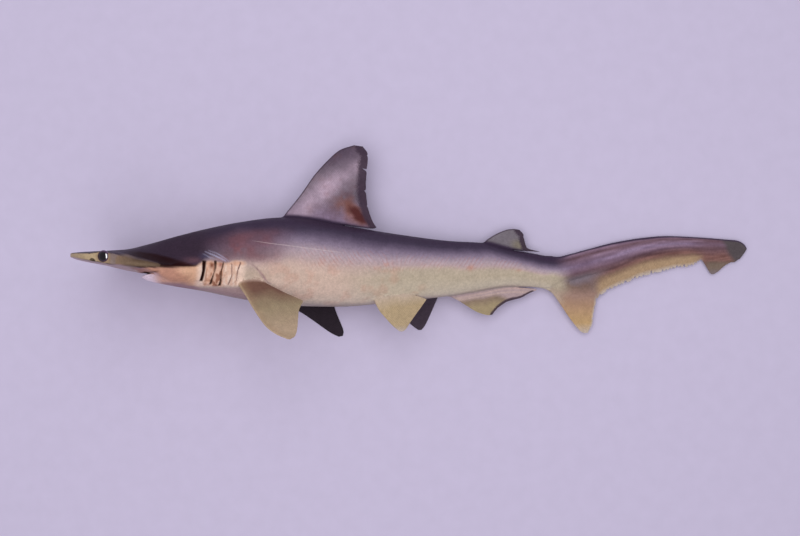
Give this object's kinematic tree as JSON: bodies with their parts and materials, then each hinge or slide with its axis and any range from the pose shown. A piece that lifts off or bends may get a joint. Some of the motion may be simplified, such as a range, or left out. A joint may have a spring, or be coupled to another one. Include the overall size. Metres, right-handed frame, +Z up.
{
  "type": "young scalloped hammerhead shark model",
  "caption": "Life-size still model of a young scalloped hammerhead shark lying on its right side, head propped on its lower wing tip.",
  "frame": {"origin": "centre of the bounding box's bottom, on the floor the fish lies on", "axes": "+X from the snout to the tail, +Y from the belly to the back, +Z up, which is the side of the shark's left flank"},
  "size_m": [0.5624, 0.1646, 0.1503],
  "materials": {
    "back_skin": "wet dark grey-brown skin that fades to a pinkish pale belly",
    "wing_skin": "olive-grey skin of the hammer, pale olive along its edges",
    "throat_skin": "cream and pink skin of the jaw and throat",
    "fin_skin": "thin olive-yellow fin skin",
    "dorsal_skin": "grey-pink fin skin with a dark rear edge",
    "tail_skin": "mauve-grey skin with an amber frayed lower edge",
    "eye": "wet black"
  },
  "bodies": {
    "root": {"head": "back_skin", "hammer_wing_left": "wing_skin", "hammer_wing_right": "wing_skin", "lower_jaw": "throat_skin", "gill_region": "back_skin", "trunk_front": "back_skin", "trunk_rear": "back_skin", "tail_stalk": "back_skin", "dorsal_fin_first": "dorsal_skin", "dorsal_fin_second": "dorsal_skin", "anal_fin": "fin_skin", "pectoral_fin_left": "fin_skin", "pectoral_fin_right": "fin_skin", "pelvic_fin_left": "fin_skin", "pelvic_fin_right": "fin_skin", "caudal_fin_upper": "tail_skin", "caudal_fin_lower": "tail_skin", "eye_left": "eye", "eye_right": "eye"}
  },
  "joints": []
}
